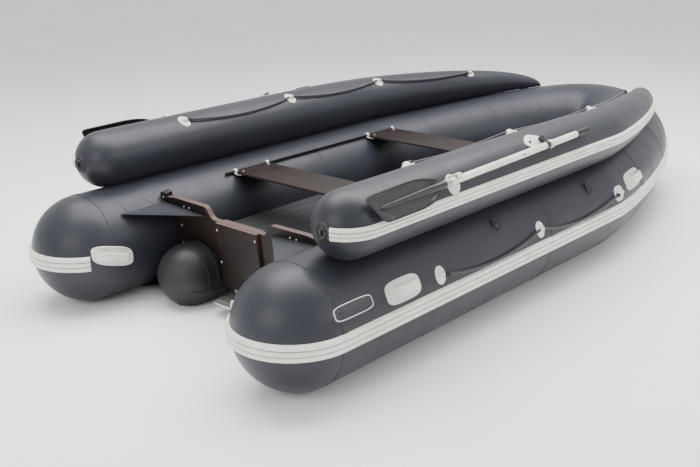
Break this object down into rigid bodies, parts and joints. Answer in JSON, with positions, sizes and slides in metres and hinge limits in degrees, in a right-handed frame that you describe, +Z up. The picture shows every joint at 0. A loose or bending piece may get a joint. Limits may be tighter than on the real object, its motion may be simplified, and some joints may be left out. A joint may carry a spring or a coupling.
{
  "type": "inflatable dinghy",
  "caption": "Inflatable rowing and motor dinghy with a second buoyancy tube along each side, plywood transom and benches, oars in oarlocks, handles and rubbing strakes.",
  "frame": {"origin": "middle of the boat in plan, at the ground under the side tubes", "axes": "+X towards the bow, +Y to port, +Z up"},
  "size_m": [3.9604, 1.931, 0.7526],
  "materials": {
    "tube_fabric": "satin",
    "inner_fabric": "satin",
    "strake_rubber": "satin",
    "white_plastic": "satin",
    "black_rubber": "satin",
    "black_plastic": "satin",
    "plywood": "satin",
    "aluminium_plate": "satin",
    "oar_shaft": "gloss",
    "oar_blade": "satin",
    "rope": "matte"
  },
  "bodies": {
    "hull": {"bench_rail_port": "black_rubber", "bench_rail_starboard": "black_rubber", "bottom_panel_port": "black_rubber", "bottom_panel_starboard": "black_rubber", "bow_tube_port": "tube_fabric", "bow_tube_starboard": "tube_fabric", "bulwark_strake_port": "strake_rubber", "bulwark_strake_starboard": "strake_rubber", "bulwark_tube_port": "tube_fabric", "bulwark_tube_starboard": "tube_fabric", "clamp_pad": "plywood", "floor": "inner_fabric", "handle_aft_inner_port": "white_plastic", "handle_aft_inner_starboard": "white_plastic", "handle_aft_outer_port": "white_plastic", "handle_aft_outer_starboard": "white_plastic", "handle_forward_outer_port": "white_plastic", "handle_forward_outer_starboard": "white_plastic", "lifeline_bulwark_port": "rope", "lifeline_bulwark_starboard": "rope", "lifeline_main_port": "rope", "lifeline_main_starboard": "rope", "main_strake": "strake_rubber", "main_tube_port": "tube_fabric", "main_tube_starboard": "tube_fabric", "motor_pad": "plywood", "oar_clip_port": "white_plastic", "oar_clip_starboard": "white_plastic", "oarlock_base_port": "white_plastic", "oarlock_base_starboard": "white_plastic", "splash_gusset_port": "tube_fabric", "splash_gusset_starboard": "tube_fabric", "sponson_port": "inner_fabric", "sponson_starboard": "inner_fabric", "transom": "plywood", "transom_holder_port": "black_plastic", "transom_holder_starboard": "black_plastic", "tunnel_panel": "black_rubber", "tunnel_plate": "aluminium_plate"},
    "oar_port": {"oar_collar_port": "black_rubber", "oar_shaft_port": "oar_shaft", "oar_grip_port": "black_rubber", "oar_blade_port": "oar_blade"},
    "side_valve_cap_port": {"side_valve_cap_port": "black_plastic"},
    "bow_valve_cap_port": {"bow_valve_cap_port": "black_plastic"},
    "bulwark_plug_port": {"bulwark_plug_port": "black_plastic"},
    "oar_starboard": {"oar_collar_starboard": "black_rubber", "oar_shaft_starboard": "oar_shaft", "oar_grip_starboard": "black_rubber", "oar_blade_starboard": "oar_blade"},
    "side_valve_cap_starboard": {"side_valve_cap_starboard": "black_plastic"},
    "bow_valve_cap_starboard": {"bow_valve_cap_starboard": "black_plastic"},
    "bulwark_plug_starboard": {"bulwark_plug_starboard": "black_plastic"},
    "bench_aft": {"bench_aft": "plywood", "bench_aft_slide_port": "white_plastic", "bench_aft_slide_starboard": "white_plastic"},
    "bench_forward": {"bench_forward": "plywood", "bench_forward_slide_port": "white_plastic", "bench_forward_slide_starboard": "white_plastic"}
  },
  "joints": [
    {"name": "oar_swing_port", "type": "hinge", "parent": "hull", "child": "oar_port", "pos_m": [-0.373, 0.8894, 0.7343], "axis": [0, -0.6561, -0.7547], "range_deg": [0, 50]},
    {"name": "side_valve_turn_port", "type": "hinge", "parent": "hull", "child": "side_valve_cap_port", "pos_m": [-0.698, 0.8786, 0.4212], "axis": [0, 0.7314, 0.682], "range_deg": [0, 90]},
    {"name": "bow_valve_turn_port", "type": "hinge", "parent": "hull", "child": "bow_valve_cap_port", "pos_m": [0.059, 0.8873, 0.4113], "axis": [0, 0.766, 0.6428], "range_deg": [0, 90]},
    {"name": "bulwark_plug_turn_port", "type": "hinge", "parent": "hull", "child": "bulwark_plug_port", "pos_m": [-1.657, 0.7873, 0.6166], "axis": [-1, 0, 0], "range_deg": [0, 90]},
    {"name": "oar_swing_starboard", "type": "hinge", "parent": "hull", "child": "oar_starboard", "pos_m": [-0.373, -0.8894, 0.7343], "axis": [0, -0.6561, 0.7547], "range_deg": [0, 50]},
    {"name": "side_valve_turn_starboard", "type": "hinge", "parent": "hull", "child": "side_valve_cap_starboard", "pos_m": [-0.698, -0.8786, 0.4212], "axis": [0, -0.7314, 0.682], "range_deg": [0, 90]},
    {"name": "bow_valve_turn_starboard", "type": "hinge", "parent": "hull", "child": "bow_valve_cap_starboard", "pos_m": [0.059, -0.8873, 0.4113], "axis": [0, -0.766, 0.6428], "range_deg": [0, 90]},
    {"name": "bulwark_plug_turn_starboard", "type": "hinge", "parent": "hull", "child": "bulwark_plug_starboard", "pos_m": [-1.657, -0.7873, 0.6166], "axis": [-1, 0, 0], "range_deg": [0, 90]},
    {"name": "bench_aft_slide", "type": "slide", "parent": "hull", "child": "bench_aft", "axis": [1, 0, 0], "range_m": [-0.03, 0.4]},
    {"name": "bench_forward_slide", "type": "slide", "parent": "hull", "child": "bench_forward", "axis": [1, 0, 0], "range_m": [-0.35, 0]}
  ]
}
